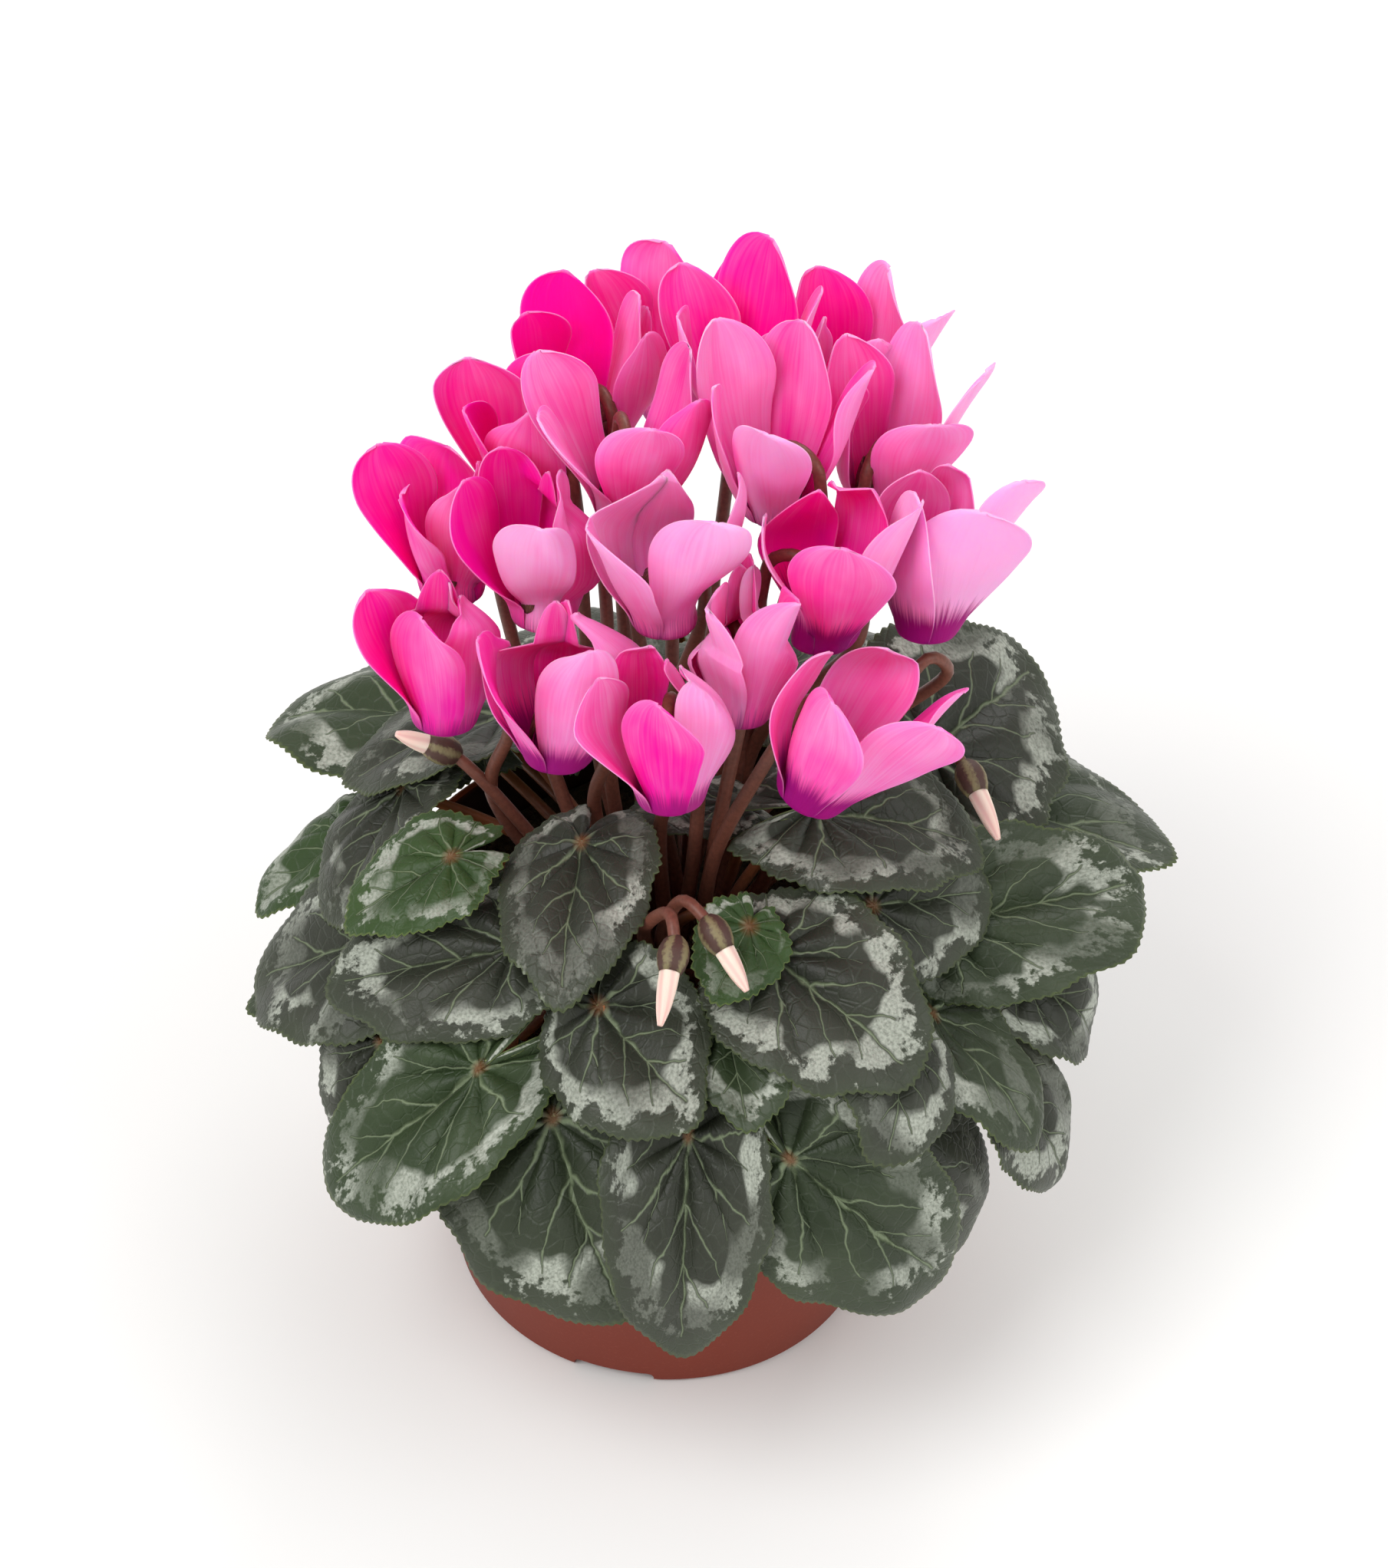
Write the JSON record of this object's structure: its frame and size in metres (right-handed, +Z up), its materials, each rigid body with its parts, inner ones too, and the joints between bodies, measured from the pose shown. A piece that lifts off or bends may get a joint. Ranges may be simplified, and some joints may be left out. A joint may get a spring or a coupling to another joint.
{
  "type": "potted cyclamen",
  "caption": "Cyclamen in bloom in a round nursery pot: a dome of heart-shaped patterned leaves under nodding, swept-back pink blooms on hooked stalks.",
  "frame": {"origin": "middle of the pot's foot, on the surface that it stands on", "axes": "+Z up along the pot's axis, -Y towards the side that the picture shows, +X to that view's right"},
  "size_m": [0.185, 0.1769, 0.2227],
  "materials": {
    "pot": "matt, terracotta brown",
    "soil": "loose peat compost, rough",
    "stalk": "fleshy, satin, red-brown",
    "leaf": "satin, dark green with a silver-green band, pale veins and a thin pale rim",
    "petal": "soft sheen, pink with a purple-magenta eye",
    "bud": "soft sheen, pale cream-pink"
  },
  "bodies": {
    "root": {"pot": "pot", "soil": "soil", "corm_with_stalks": "stalk", "leaf_01": "leaf", "leaf_02": "leaf", "leaf_03": "leaf", "leaf_04": "leaf", "leaf_05": "leaf", "leaf_06": "leaf", "leaf_07": "leaf", "leaf_08": "leaf", "leaf_09": "leaf", "leaf_10": "leaf", "leaf_11": "leaf", "leaf_12": "leaf", "leaf_13": "leaf", "leaf_14": "leaf", "leaf_15": "leaf", "leaf_16": "leaf", "leaf_17": "leaf", "leaf_18": "leaf", "leaf_19": "leaf", "leaf_20": "leaf", "leaf_21": "leaf", "leaf_22": "leaf", "leaf_23": "leaf", "leaf_24": "leaf", "leaf_25": "leaf", "leaf_26": "leaf", "leaf_27": "leaf", "leaf_28": "leaf", "leaf_29": "leaf", "leaf_30": "leaf", "leaf_31": "leaf", "leaf_32": "leaf", "leaf_33": "leaf", "leaf_34": "leaf", "leaf_35": "leaf", "bloom_01": "petal", "bloom_02": "petal", "bloom_03": "petal", "bloom_04": "petal", "bloom_05": "petal", "bloom_06": "petal", "bloom_07": "petal", "bloom_08": "petal", "bloom_09": "petal", "bloom_10": "petal", "bloom_11": "petal", "bloom_12": "petal", "bloom_13": "petal", "bloom_14": "petal", "bloom_15": "petal", "bloom_16": "petal", "bloom_17": "petal", "bloom_18": "petal", "bud_01": "bud", "bud_02": "bud", "bud_03": "bud", "bud_04": "bud"}
  },
  "joints": []
}
